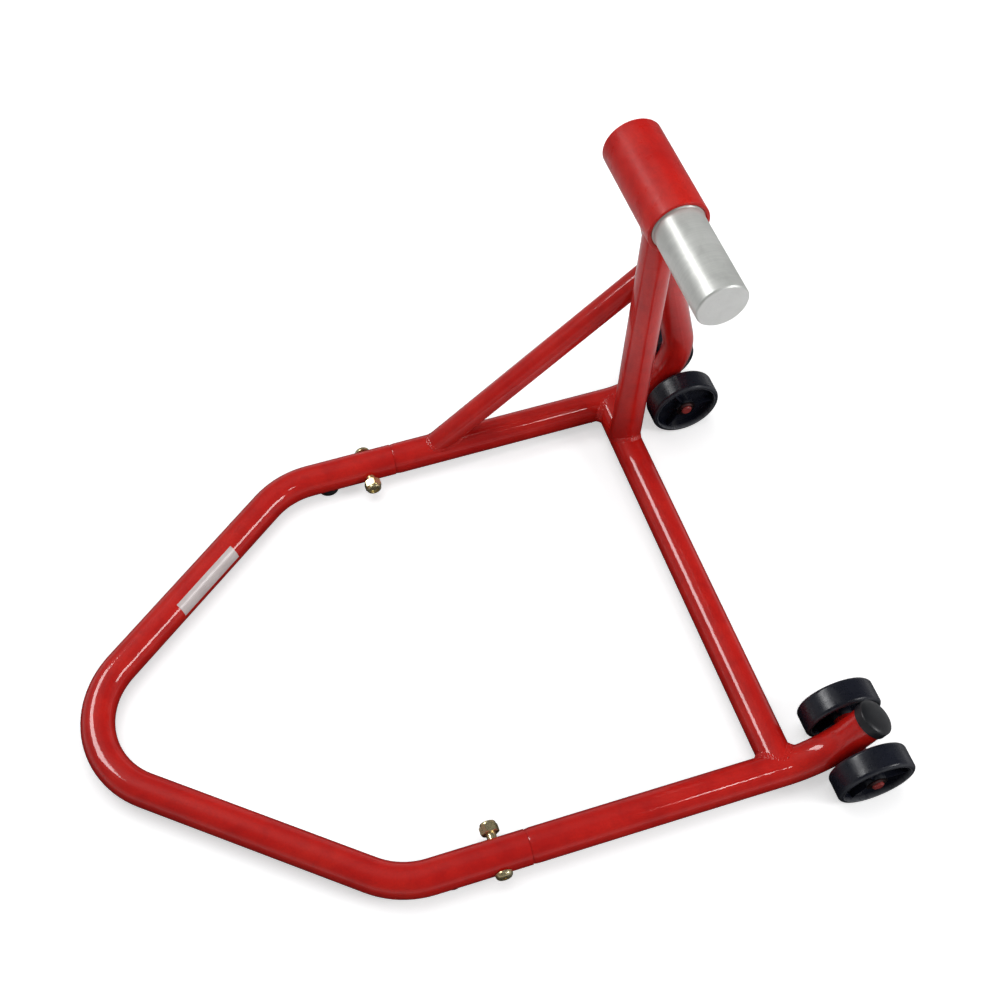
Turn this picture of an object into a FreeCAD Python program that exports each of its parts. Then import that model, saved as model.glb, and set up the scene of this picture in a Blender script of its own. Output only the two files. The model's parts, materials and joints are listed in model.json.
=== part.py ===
import FreeCAD, Part
import math
import os
import Sketcher

"""Single-sided roller paddock stand for a motorcycle rear hub.

Own frame, millimetres: +Z up, +Y from the handle towards the wheels, +X from the
upright's side (far) to the short tube's side (near).  The origin is on the floor,
in the middle of the footprint.  The pieces are drawn from a datum midway between
the side tubes, under the axis of the cross tube, and seated from there.
"""

V = FreeCAD.Vector
doc = FreeCAD.newDocument("paddock_stand")

# ------------------------------------------------------------------ dimensions
# (alias, value, note).  Every size below is written as text over these aliases.
SIZES = [
    ("origin_x", 8.5, "drawing datum, from the middle of the footprint"),
    ("origin_y", 272.105, "drawing datum, from the middle of the footprint"),
    ("touch_gap", 0.02, "gap left round a part that touches another"),
    ("cut_lead", 0.1, "grooves start this far outside the metal"),
    # frame tubes
    ("tube_od", 35.0, "frame tube, outside diameter"),
    ("tube_wall", 2.6, "wall of the frame tubes"),
    ("tube_z", 22.0, "height of the tube plane above the floor"),
    ("half_track", 239.4, "side tube axis, either side of the datum"),
    ("bend_radius", 78.75, "centreline radius of the side tube bends"),
    ("near_bend_start", 2.1, "start of the kick-up on the short side tube"),
    ("near_bend_angle", 57.0, "kick-up angle of the short side tube"),
    ("near_tail", 35.2, "straight length after the kick-up"),
    ("near_overrun", 1.0, "near bore cutter, past the tube end"),
    ("far_bend_start", -1.6, "start of the bend on the long side tube"),
    ("far_bend_angle", 103.8, "bend angle from the floor run to the upright"),
    ("far_overrun", 5.0, "far bore cutter, past the tube end"),
    ("cross_overrun", 1.0, "cross tube bore cutter, past each end"),
    ("swage_start", -257.2, "where the side tubes begin to neck down"),
    ("seam_y", -264.6, "where the handle butts on the side tubes"),
    ("seam_radius", 16.0, "necked radius at the seam"),
    ("spigot_radius", 15.35, "spigot inside the handle"),
    ("spigot_end", -330.0, "handle end of the spigots"),
    ("spigot_tip_length", 1.5, "bevel at the spigot end, along it"),
    ("spigot_tip_depth", 1.2, "bevel at the spigot end, off its radius"),
    ("spigot_bore", 12.7, "bore radius of the spigots"),
    ("spigot_overrun", 2.0, "spigot bore cutter, past the end"),
    ("bore_taper_lead", 4.0, "bore starts to narrow before the neck by this"),
    # strut and brace
    ("strut_od", 26.9, "diagonal strut"),
    ("strut_wall", 2.3, "wall of the diagonal strut"),
    ("strut_foot_y", -221.3, "strut axis meets the floor run"),
    ("strut_head_y", 42.5, "strut axis meets the upright"),
    ("strut_head_z", 251.0, "strut axis meets the upright"),
    ("brace_foot_x", -186.9, "brace axis meets the cross tube"),
    ("brace_head_x", -213.2, "brace axis meets the sleeve"),
    # sleeve
    ("pin_y", 20.0, "lifting pin axis"),
    ("pin_z", 363.3, "lifting pin axis above the floor"),
    ("sleeve_od", 63.5, "sleeve, outside diameter"),
    ("sleeve_bore", 54.62, "running bore for the pin shank"),
    ("sleeve_back", -300.3, "outer end of the sleeve"),
    ("sleeve_mouth", -178.5, "mouth of the sleeve"),
    ("sleeve_round", 0.8, "rounding of the sleeve's outside edges"),
    ("mouth_chamfer", 1.6, "chamfer in the mouth"),
    ("flange_in", -290.0, "inner face of the end flange"),
    ("flange_out", -296.0, "outer face of the end flange"),
    ("flange_bore", 32.2, "hole in the end flange"),
    ("recess_dia", 59.0, "recess for the retaining disc"),
    # lifting pin
    ("shank_dia", 54.5, "pin shank"),
    ("shank_play", 0.2, "shank end from the flange's inner face"),
    ("pin_dia", 52.5, "free end of the pin"),
    ("pin_step_in", 0.9, "start of the step, inside the mouth"),
    ("pin_step_out", 0.3, "end of the step, outside the mouth"),
    ("pin_end", -74.5, "free end of the pin"),
    ("pin_chamfer", 1.6, "edge of the free end"),
    ("nose_round", 1.0, "rounding behind the free end's chamfer"),
    ("stub_dia", 32.0, "pin stub through the flange"),
    ("stub_proud", 0.18, "stub end beyond the flange's outer face"),
    ("pin_bevel", 1.0, "bevel of the stub and the shank"),
    ("tap_lead", 1.0, "pin hole starts outside the flange by this"),
    ("tap_depth", 24.0, "full-width end of the pin hole, from the flange"),
    ("tap_point", 27.0, "point of the pin hole, from the flange"),
    ("thread_gap", 0.05, "threaded hole over the bolt, on the radius"),
    # what retains the pin
    ("disc_dia", 58.6, "retaining disc"),
    ("disc_thick", 3.0, "retaining disc"),
    ("disc_gap", 0.2, "disc from the flange"),
    ("disc_chamfer", 0.6, "outer edge of the disc"),
    ("ring_gap", 0.15, "disc and washer over the bolt, on the radius"),
    ("washer_dia", 18.1, "lock washer"),
    ("washer_seat", 0.22, "disc thickness plus this puts the washer's inner face"),
    ("washer_end", 2.4, "disc thickness plus this puts the washer's outer face"),
    ("slit_width", 1.0, "slit in the washer"),
    ("slit_from", 4.0, "slit, inner radius"),
    ("slit_to", 10.0, "slit, outer radius"),
    ("head_seat", 2.5, "disc thickness plus this puts the bolt head"),
    ("hex_head_af", 17.0, "hex bolt head, across flats"),
    ("hex_head_height", 6.4, "hex bolt head"),
    ("stud_reach", 20.0, "bolt end, from the flange's outer face"),
    ("stud_chamfer", 1.0, "bolt end"),
    # handle
    ("handle_wall", 2.0, "wall of the handle tube"),
    ("corner_y", -392.7, "virtual corner of the handle's legs"),
    ("corner_radius", 89.25, "bend radius at the corners"),
    ("apex_y", -699.3, "virtual corner of the handle's nose"),
    ("apex_radius", 90.3, "bend radius of the nose"),
    ("bolt_y", -295.0, "handle bolts"),
    ("bolt_dia", 10.0, "M10"),
    ("bolt_hole", 10.5, "clearance hole"),
    ("hole_reach", 30.0, "bolt hole cutter, each way from the tube axis"),
    ("bolt_reach", 10.0, "bolt end beyond the nut's seat"),
    ("bolt_chamfer", 0.8, "bolt end"),
    ("head_gap", 0.05, "button head from the tube"),
    ("head_dia", 17.5, "button head"),
    ("head_height", 5.5, "button head"),
    ("head_dome", 4.4, "rounding of the button head"),
    ("socket_af", 6.0, "hex socket, across flats"),
    ("socket_lead", 0.05, "socket cutter starts above the head by this"),
    ("socket_cut", 3.2, "length of the socket cutter"),
    ("nut_af", 17.0, "lock nut, across flats"),
    ("nut_hex", 8.4, "hexagon of the lock nut"),
    ("nut_total", 11.6, "lock nut, whole height with its collar"),
    ("nut_stand_off", 23.1, "nut face from the tube axis"),
    ("corner_gap", 0.05, "nut trim runs outside the corners by this"),
    ("seat_inset", 0.2, "seat bevel, inside the flats"),
    ("seat_bevel", 1.0, "seat bevel, along the nut"),
    ("top_outset", 0.1, "top bevel, outside the flats"),
    ("top_bevel", 0.8, "top bevel, along the nut"),
    ("collar_inset", 0.35, "collar, inside the flats"),
    ("collar_sink", 0.5, "collar starts below the hexagon's top by this"),
    ("collar_round", 1.9, "rounding of the collar"),
    ("thread_lead", 0.5, "nut thread cutter, past each face"),
    # rubber feet
    ("foot_y", -342.3, "rubber feet"),
    ("foot_dia", 24.4, "rubber feet"),
    ("foot_height", 12.6, "rubber feet, saddle height"),
    ("foot_stem", 9.0, "stem of the feet"),
    ("stem_from", 2.0, "lower end of the stem"),
    ("stem_to", 11.5, "upper end of the stem"),
    ("stem_taper", 1.0, "stem's upper end, off its radius"),
    ("barb_out", 1.5, "barb beyond the stem"),
    ("barb_from", 7.8, "underside of the barb"),
    ("barb_to", 8.6, "top of the barb's edge"),
    ("stem_gap", 0.1, "hole over the stem, on the radius"),
    ("foot_hole_from", 1.0, "lower end of the hole cutter"),
    ("foot_hole_length", 8.0, "hole cutter"),
    # label
    ("label_start", 100.3, "from the handle's corner along the far leg"),
    ("label_length", 89.0, "label"),
    ("label_from", 26.0, "label edge, degrees from the top"),
    ("label_sweep", 55.0, "label width, degrees round the tube"),
    ("label_thick", 0.25, "label"),
    # wheels
    ("axle_y", 76.1, "wheel axis"),
    ("wheel_dia", 80.0, "wheel"),
    ("wheel_width", 26.0, "wheel"),
    ("wheel_offset", 36.2, "middle of a wheel from the side tube axis"),
    ("wheel_bore", 12.15, "bore of the hub"),
    ("rim_thick", 5.2, "rim wall"),
    ("rim_taper", 0.8, "extra rim wall at the web"),
    ("web_thick", 4.2, "web between hub and rim"),
    ("hub_dia", 20.0, "hub"),
    ("hub_taper", 0.6, "extra hub radius at the web"),
    ("hub_length", 22.0, "hub"),
    ("rib_thick", 1.8, "ribs"),
    ("rib_width", 18.0, "ribs, along the axle"),
    ("rib_in_hub", 1.0, "ribs run into the hub"),
    ("rib_in_rim", 0.6, "ribs run into the rim"),
    ("rim_round", 3.7, "outer edges of the rim"),
    ("recess_round", 0.7, "inner edges of the rim"),
    # axles and what sits on them
    ("axle_dia", 12.0, "axle"),
    ("axle_half", 51.5, "axle end from the side tube axis"),
    ("axle_chamfer", 1.2, "axle ends"),
    ("notch_reach", 50.0, "axle hole cutter, each way from the tube axis"),
    ("spacer_dia", 21.0, "spacer"),
    ("spacer_from", 17.6, "inner end of a spacer"),
    ("spacer_chamfer", 0.5, "spacer ends"),
    ("spacer_gap", 0.05, "spacer over the axle, on the radius"),
    ("hub_gap", 0.1, "spacer and star-lock washer from the hub"),
    ("push_nut_dia", 22.0, "star-lock washer"),
    # tube end cap
    ("cap_dia", 38.2, "end cap"),
    ("cap_from", 25.1, "rim of the cap along the tail"),
    ("cap_to", 37.6, "face of the cap along the tail"),
    ("cap_bore", 35.1, "end cap bore"),
    ("cap_gap", 0.05, "cap floor from the tube end"),
    ("cap_round", 2.3, "edge of the cap's face"),
    ("cap_lip", 0.5, "edge of the cap's rim"),
    # welds
    ("weld_leg", 2.8, "radius of the large beads"),
    ("small_weld", 2.4, "radius of the axle beads"),
    ("bead_inset", 0.3, "axle bead from the spacer"),
]
ALIASES = {alias for alias, _, _ in SIZES}

sheet = doc.addObject("Spreadsheet::Sheet", "params")
for row, (alias, value, note) in enumerate(SIZES, start=1):
    sheet.set(f"A{row}", alias)
    sheet.set(f"B{row}", repr(value))
    sheet.setAlias(f"B{row}", alias)
    sheet.set(f"C{row}", note)
doc.recompute()


# ------------------------------------------------------------------ expressions
def full(text):
    """Write 'tube_od/2' as 'params.tube_od/2'."""
    result, word = "", ""
    for char in text + " ":
        if char.isalpha() or char == "_" or (word and char.isdigit()):
            word += char
        else:
            result += ("params." + word if word in ALIASES else word) + char
            word = ""
    return result.strip()


def num(text):
    value = sheet.evalExpression(full(text))
    return float(value.Value) if hasattr(value, "Value") else float(value)


def point(texts):
    return V(*[num(text) for text in texts])


def bind(obj, prop, text):
    """Tie a property to the sheet, unless the text is a plain number."""
    if any(char.isalpha() for char in text):
        obj.setExpression(prop, full(text))


def set_size(obj, prop, text):
    setattr(obj, prop, num(text))
    bind(obj, prop, text)


# ------------------------------------------------------------------ placing
UPRIGHT = FreeCAD.Rotation()
ALONG_X = FreeCAD.Rotation(V(0, 1, 0), 90)
HALF_TURN = FreeCAD.Rotation(V(0, 0, 1), 180)


def place(obj, base, rotation=UPRIGHT):
    obj.Placement = FreeCAD.Placement(point(base), rotation)
    for key, text in zip("xyz", base):
        bind(obj, "Placement.Base." + key, text)


NODES = {}


def node(label, drawn):
    """A named piece: the drawn shape, seated from the datum to the part's origin."""
    drawn.Label = label + "_drawn"
    piece = doc.addObject("Part::Compound", label + "_piece")
    piece.Links = [drawn]
    piece.Label = label
    place(piece, ("origin_x", "origin_y", "0"))
    NODES[label] = piece


# ------------------------------------------------------------------ sketches
def new_body(name):
    return doc.addObject("PartDesign::Body", name)


def new_sketch(body, role, name, offset=None):
    plane = [o for o in body.Origin.OriginFeatures if o.Role == role][0]
    sketch = body.newObject("Sketcher::SketchObject", name)
    sketch.AttachmentSupport = (plane, [""])
    sketch.MapMode = "FlatFace"
    if offset is not None:
        sketch.AttachmentOffset = FreeCAD.Placement(V(0, 0, num(offset)), UPRIGHT)
        bind(sketch, "AttachmentOffset.Base.z", offset)
    return sketch


def pin_point(sketch, curve, vertex, position):
    """Fix one point of a sketch at two expressions."""
    for kind, text in zip(("DistanceX", "DistanceY"), position):
        index = sketch.addConstraint(
            Sketcher.Constraint(kind, -1, 1, curve, vertex, num(text)))
        bind(sketch, f"Constraints[{index}]", text)


def fix_radius(sketch, curve, radius):
    index = sketch.addConstraint(Sketcher.Constraint("Radius", curve, num(radius)))
    bind(sketch, f"Constraints[{index}]", radius)


def polygon(sketch, corners):
    points = [point(corner) for corner in corners]
    count = len(points)
    for i in range(count):
        sketch.addGeometry(Part.LineSegment(points[i], points[(i + 1) % count]), False)
    for i in range(count):
        sketch.addConstraint(Sketcher.Constraint("Coincident", i, 2, (i + 1) % count, 1))
    for i, corner in enumerate(corners):
        pin_point(sketch, i, 1, corner)


def hexagon(sketch, flats, turn=0):
    """A regular hexagon about the sketch's origin, from its across-flats size."""
    angles = [60 * i + turn for i in range(6)]
    polygon(sketch, [(f"{flats}/sqrt(3)*cos({a})", f"{flats}/sqrt(3)*sin({a})")
                     for a in angles])


def path_sketch(body, role, name, segments):
    """Lines and arcs end to end.

    A line is ("line", p, q) and an arc ("arc", p, q, centre, radius, flip): flip
    says that the arc is stored from q to p, so that it runs anticlockwise.
    """
    sketch = new_sketch(body, role, name)
    ends = []
    for kind, start, end, *arc in segments:
        if kind == "line":
            curve = sketch.addGeometry(Part.LineSegment(point(start), point(end)), False)
            pin_point(sketch, curve, 1, start)
            pin_point(sketch, curve, 2, end)
            ends.append((curve, 1, 2))
        else:
            centre, radius, flip = arc
            middle = point(centre)
            first, last = [point(p) - middle for p in ((end, start) if flip else (start, end))]
            from_angle = math.atan2(first.y, first.x)
            to_angle = math.atan2(last.y, last.x)
            if to_angle < from_angle:
                to_angle += 2 * math.pi
            circle = Part.Circle(middle, V(0, 0, 1), num(radius))
            curve = sketch.addGeometry(Part.ArcOfCircle(circle, from_angle, to_angle), False)
            fix_radius(sketch, curve, radius)
            ends.append((curve, 2, 1) if flip else (curve, 1, 2))
    for (curve, _, end), (next_curve, start, _) in zip(ends, ends[1:]):
        sketch.addConstraint(Sketcher.Constraint("Coincident", curve, end, next_curve, start))
    return sketch


# ------------------------------------------------------------------ body features
def revolve(body, name, profile, role="XY_Plane", remove=False, axis="H_Axis", suffix=""):
    """Turn a profile of (along, radius) points about an axis of its sketch."""
    sketch = new_sketch(body, role, name + "_profile")
    polygon(sketch, profile)
    kind = "PartDesign::Groove" if remove else "PartDesign::Revolution"
    feature = body.newObject(kind, name + suffix)
    feature.Profile = sketch
    feature.ReferenceAxis = (sketch, [axis])
    feature.Angle = 360
    body.Tip = feature


def turned(name, profile, base, role="XY_Plane", rotation=UPRIGHT, axis="H_Axis"):
    body = new_body(name)
    revolve(body, name, profile, role, axis=axis, suffix="_turn")
    place(body, base, rotation)
    return body


def extrude(body, kind, name, sketch, length):
    """A Pad or a Pocket."""
    feature = body.newObject("PartDesign::" + kind, name)
    feature.Profile = sketch
    set_size(feature, "Length", length)
    body.Tip = feature
    return feature


def piped(name, role, segments, start_y, radius, x="0", section_x="0"):
    """A round section swept along a path that starts at start_y in the tube plane."""
    body = new_body(name)
    path = path_sketch(body, role, name + "_path", segments)
    section = new_sketch(body, "XZ_Plane", name + "_section", f"-({start_y})")
    circle = section.addGeometry(
        Part.Circle(point((section_x, "0")), V(0, 0, 1), num(radius)), False)
    pin_point(section, circle, 3, (section_x, "0"))
    fix_radius(section, circle, radius)
    pipe = body.newObject("PartDesign::AdditivePipe", name + "_sweep")
    pipe.Profile = section
    pipe.Spine = path
    body.Tip = pipe
    place(body, (x, "0", "tube_z"))
    return body


def round_rims(body, name, fillet_radius, rim_radius, stations, axis="x"):
    """Fillet the circular edges of this radius whose centres lie at the stations."""
    doc.recompute()
    radius = num(rim_radius)
    places = [num(station) for station in stations]

    def wanted(edge):
        curve = edge.Curve
        return (hasattr(curve, "Radius") and abs(curve.Radius - radius) <= 0.02
                and any(abs(getattr(curve.Center, axis) - at) < 0.05 for at in places))

    tip = body.Tip
    names = [f"Edge{i}" for i, edge in enumerate(tip.Shape.Edges, start=1) if wanted(edge)]
    if not names:
        raise RuntimeError("no edge for " + name)
    fillet = body.newObject("PartDesign::Fillet", name)
    fillet.Base = (tip, names)
    set_size(fillet, "Radius", fillet_radius)
    body.Tip = fillet


# ------------------------------------------------------------------ solids and booleans
def cylinder(name, radius, length, base, rotation=UPRIGHT):
    solid = doc.addObject("Part::Cylinder", name)
    set_size(solid, "Radius", radius)
    set_size(solid, "Height", length)
    place(solid, base, rotation)
    return solid


def rod_between(name, radius, start, end):
    squares = " + ".join(f"({b}-({a}))^2" for a, b in zip(start, end))
    direction = FreeCAD.Rotation(V(0, 0, 1), point(end) - point(start))
    return cylinder(name, radius, f"sqrt({squares})", start, direction)


def cut(name, shape, *tools):
    for i, tool in enumerate(tools, start=1):
        step = doc.addObject("Part::Cut", name if i == len(tools) else f"{name}_cut{i - 1}")
        step.Base = shape
        step.Tool = tool
        shape = step
    return shape


def common(name, base, tool):
    overlap = doc.addObject("Part::Common", name)
    overlap.Base = base
    overlap.Tool = tool
    return overlap


def fuse(name, *members):
    fusion = doc.addObject("Part::MultiFuse", name)
    fusion.Shapes = list(members)
    return fusion


def group(name, members):
    compound = doc.addObject("Part::Compound", name)
    compound.Links = list(members)
    return compound


# ------------------------------------------------------------------ side tubes
TUBE_X = {"near": "half_track", "far": "-half_track"}
# Tail that takes the far tube's axis up to the height of the pin
FAR_TAIL = "(pin_z-tube_z-bend_radius*(1-cos(far_bend_angle)))/sin(far_bend_angle)"
# Start of the bend, its angle, and the straight tail after it
SIDE_RUNS = {
    "near": ("near_bend_start", "near_bend_angle", "near_tail"),
    "far": ("far_bend_start", "far_bend_angle", FAR_TAIL),
}
# Rounded neck: share of the way to the seam, share of the tube's radius over the seam's
SHOULDER = [
    (0.25, 0.968), (0.45, 0.893), (0.62, 0.785),
    (0.76, 0.650), (0.87, 0.493), (0.95, 0.312),
]


def bend_end(start, angle):
    return f"{start}+bend_radius*sin({angle})", f"bend_radius*(1-cos({angle}))"


def side_path(tag, first_y="swage_start", overrun="0"):
    """Floor run, bend and tail of a side tube, in its own YZ plane."""
    start, angle, tail = SIDE_RUNS[tag]
    bend_from = (start, "0")
    bend_to = bend_end(start, angle)
    length = f"({tail}+{overrun})"
    tip = (f"{bend_to[0]}+{length}*cos({angle})", f"{bend_to[1]}+{length}*sin({angle})")
    return [
        ("line", (first_y, "0"), bend_from),
        ("arc", bend_from, bend_to, (start, "bend_radius"), "bend_radius", False),
        ("line", bend_to, tip),
    ]


def side_solid(tag):
    """Outside of a side tube, with its neck and spigot."""
    outer = piped(tag + "_tube_solid", "YZ_Plane", side_path(tag), "swage_start",
                  "tube_od/2", TUBE_X[tag])
    neck = [(f"swage_start+{along}*(seam_y-swage_start)",
             f"seam_radius+{rise}*(tube_od/2-seam_radius)") for along, rise in SHOULDER]
    revolve(outer, tag + "_spigot", [
        ("swage_start", "0"), ("swage_start", "tube_od/2"), *neck,
        ("seam_y", "seam_radius"), ("seam_y", "spigot_radius"),
        ("spigot_end+spigot_tip_length", "spigot_radius"),
        ("spigot_end", "spigot_radius-spigot_tip_depth"), ("spigot_end", "0")], "YZ_Plane")
    return outer


def side_bore(tag):
    first_y = "swage_start+bore_taper_lead"
    radius = "tube_od/2-tube_wall"
    bore = piped(tag + "_tube_bore", "YZ_Plane", side_path(tag, first_y, tag + "_overrun"),
                 first_y, radius, TUBE_X[tag])
    revolve(bore, tag + "_spigot_bore", [
        (first_y, "0"), (first_y, radius), ("seam_y", "spigot_bore"),
        ("spigot_end-spigot_overrun", "spigot_bore"), ("spigot_end-spigot_overrun", "0")],
        "YZ_Plane")
    return bore


side_solids, side_tubes, bolt_holes = {}, {}, {}
for tag, x in TUBE_X.items():
    side_solids[tag] = side_solid(tag)
    bolt_holes[tag] = cylinder(tag + "_bolt_hole", "bolt_hole/2", "2*hole_reach",
                               (x + "-hole_reach", "bolt_y", "tube_z"), ALONG_X)
    notch = cylinder(tag + "_axle_notch", "axle_dia/2+touch_gap", "2*notch_reach",
                     (x + "-notch_reach", "axle_y", "wheel_dia/2"), ALONG_X)
    side_tubes[tag] = (side_solids[tag], side_bore(tag), bolt_holes[tag], notch)
near_solid, far_solid = side_solids["near"], side_solids["far"]

SLEEVE_BASE = ("sleeve_back", "pin_y", "pin_z")
SLEEVE_LENGTH = "sleeve_mouth-sleeve_back"
sleeve_solid = cylinder("sleeve_solid", "sleeve_od/2+touch_gap", SLEEVE_LENGTH,
                        SLEEVE_BASE, ALONG_X)

node("near_side_tube", cut("near_side_tube", *side_tubes["near"]))
node("far_side_tube", cut("far_side_tube", *side_tubes["far"], sleeve_solid))

# ------------------------------------------------------------------ cross tube
CROSS_BASE = ("-half_track", "0", "tube_z")
cross_solid = cylinder("cross_solid", "tube_od/2", "2*half_track", CROSS_BASE, ALONG_X)
cross_bore = cylinder("cross_bore", "tube_od/2-tube_wall", "2*(half_track+cross_overrun)",
                      ("-half_track-cross_overrun", "0", "tube_z"), ALONG_X)
node("cross_tube", cut("cross_tube", cross_solid, cross_bore, near_solid, far_solid))

# ------------------------------------------------------------------ strut and brace
STRUT_ENDS = (("-half_track", "strut_foot_y", "tube_z"),
              ("-half_track", "strut_head_y", "strut_head_z"))
strut_solid = rod_between("strut_solid", "strut_od/2", *STRUT_ENDS)
strut_bore = rod_between("strut_bore", "strut_od/2-strut_wall", *STRUT_ENDS)
node("diagonal_strut", cut("diagonal_strut", strut_solid, strut_bore, far_solid))

BRACE_ENDS = (("brace_foot_x", "0", "tube_z"), ("brace_head_x", "pin_y", "pin_z"))
brace_solid = rod_between("brace_solid", "tube_od/2", *BRACE_ENDS)
brace_bore = rod_between("brace_bore", "tube_od/2-tube_wall", *BRACE_ENDS)
node("sleeve_brace", cut("sleeve_brace", brace_solid, brace_bore,
                         cross_solid, sleeve_solid, far_solid))

# ------------------------------------------------------------------ sleeve and lifting pin
PIN_BASE = ("0", "pin_y", "pin_z")


def pin_sleeve():
    sleeve = turned("pin_sleeve_body", [
        ("sleeve_back", "recess_dia/2"), ("sleeve_back", "sleeve_od/2"),
        ("sleeve_mouth", "sleeve_od/2"), ("sleeve_mouth", "sleeve_bore/2+mouth_chamfer"),
        ("sleeve_mouth-mouth_chamfer", "sleeve_bore/2"), ("flange_in", "sleeve_bore/2"),
        ("flange_in", "flange_bore/2"), ("flange_out", "flange_bore/2"),
        ("flange_out", "recess_dia/2")], PIN_BASE)
    round_rims(sleeve, "sleeve_edges", "sleeve_round", "sleeve_od/2",
               ("sleeve_back", "sleeve_mouth"))
    return sleeve


def lifting_pin():
    stub_end = "flange_out-stub_proud"
    shoulder = "flange_in+shank_play"
    pin = turned("lifting_pin_body", [
        (shoulder, "0"), (stub_end, "0"), (stub_end, "stub_dia/2-pin_bevel"),
        (stub_end + "+pin_bevel", "stub_dia/2"), (shoulder, "stub_dia/2"),
        (shoulder, "shank_dia/2-pin_bevel"), (shoulder + "+pin_bevel", "shank_dia/2"),
        ("sleeve_mouth-pin_step_in", "shank_dia/2"), ("sleeve_mouth+pin_step_out", "pin_dia/2"),
        ("pin_end-pin_chamfer", "pin_dia/2"), ("pin_end", "pin_dia/2-pin_chamfer"),
        ("pin_end", "0")], PIN_BASE)
    revolve(pin, "pin_thread", [
        ("flange_out-tap_lead", "0"), ("flange_out-tap_lead", "bolt_dia/2+thread_gap"),
        ("flange_out+tap_depth", "bolt_dia/2+thread_gap"), ("flange_out+tap_point", "0")],
        remove=True)
    round_rims(pin, "pin_nose", "nose_round", "pin_dia/2", ("pin_end-pin_chamfer",))
    return pin


def retaining_disc():
    inner = "flange_out-disc_gap"
    outer = inner + "-disc_thick"
    return turned("pin_retaining_disc_body", [
        (inner, "bolt_dia/2+ring_gap"), (inner, "disc_dia/2"),
        (outer + "+disc_chamfer", "disc_dia/2"), (outer, "disc_dia/2-disc_chamfer"),
        (outer, "bolt_dia/2+ring_gap")], PIN_BASE)


def lock_washer():
    """A washer slit through on its +Y side."""
    inner = "flange_out-disc_thick-washer_seat"
    outer = "flange_out-disc_thick-washer_end"
    washer = turned("pin_lock_washer_body", [
        (inner, "bolt_dia/2+ring_gap"), (inner, "washer_dia/2"),
        (outer, "washer_dia/2"), (outer, "bolt_dia/2+ring_gap")], PIN_BASE)
    slit = washer.newObject("PartDesign::Pocket", "washer_slit")
    sketch = new_sketch(washer, "YZ_Plane", "washer_slit_profile")
    polygon(sketch, [
        ("-slit_width/2", "slit_from"), ("slit_width/2", "slit_from"),
        ("slit_width/2", "slit_to"), ("-slit_width/2", "slit_to")])
    slit.Profile = sketch
    slit.Type = 1  # through all
    slit.Midplane = True
    washer.Tip = slit
    return washer


def retaining_bolt():
    seat = "flange_out-disc_thick-head_seat"
    bolt = turned("pin_retaining_bolt_body", [
        (seat, "0"), (seat, "bolt_dia/2"),
        ("flange_out+stud_reach-stud_chamfer", "bolt_dia/2"),
        ("flange_out+stud_reach", "bolt_dia/2-stud_chamfer"),
        ("flange_out+stud_reach", "0")], PIN_BASE)
    sketch = new_sketch(bolt, "YZ_Plane", "bolt_head_profile", seat)
    hexagon(sketch, "hex_head_af")
    head = extrude(bolt, "Pad", "bolt_head", sketch, "hex_head_height")
    head.Reversed = True
    return bolt


node("pin_sleeve", pin_sleeve())
node("lifting_pin", lifting_pin())
node("pin_retaining_disc", retaining_disc())
node("pin_lock_washer", lock_washer())
node("pin_retaining_bolt", retaining_bolt())

# ------------------------------------------------------------------ handle
LEG_ANGLE = "atan(half_track/(corner_y-apex_y))"
CORNER_TANGENT = f"corner_radius*tan({LEG_ANGLE}/2)"
APEX_TANGENT = f"apex_radius/tan({LEG_ANGLE})"


def handle_path():
    """From the near seam round the nose to the far seam, in the XY plane."""
    seam = ("half_track", "seam_y")
    corner_from = ("half_track", f"corner_y+{CORNER_TANGENT}")
    corner_to = (f"half_track-{CORNER_TANGENT}*sin({LEG_ANGLE})",
                 f"corner_y-{CORNER_TANGENT}*cos({LEG_ANGLE})")
    nose = (f"{APEX_TANGENT}*sin({LEG_ANGLE})", f"apex_y+{APEX_TANGENT}*cos({LEG_ANGLE})")
    corner_centre = ("half_track-corner_radius", corner_from[1])
    nose_centre = ("0", f"apex_y+apex_radius/sin({LEG_ANGLE})")

    def far(position):
        return f"-({position[0]})", position[1]

    return [
        ("line", seam, corner_from),
        ("arc", corner_from, corner_to, corner_centre, "corner_radius", True),
        ("line", corner_to, nose),
        ("arc", nose, far(nose), nose_centre, "apex_radius", True),
        ("line", far(nose), far(corner_to)),
        ("arc", far(corner_to), far(corner_from), far(corner_centre), "corner_radius", True),
        ("line", far(corner_from), far(seam)),
    ]


def handle_sweep(name, radius):
    return piped(name, "XY_Plane", handle_path(), "seam_y", radius, section_x="half_track")


handle_solid = handle_sweep("handle_solid", "tube_od/2")
handle_bore = handle_sweep("handle_bore", "tube_od/2-handle_wall")
foot_holes = [cylinder(tag + "_foot_hole", "foot_stem/2+stem_gap", "foot_hole_length",
                       (x, "foot_y", "foot_hole_from")) for tag, x in TUBE_X.items()]
handle_holes = fuse("handle_holes", bolt_holes["near"], bolt_holes["far"], *foot_holes)
node("handle_tube", cut("handle_tube", handle_solid, handle_bore, handle_holes))


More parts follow.
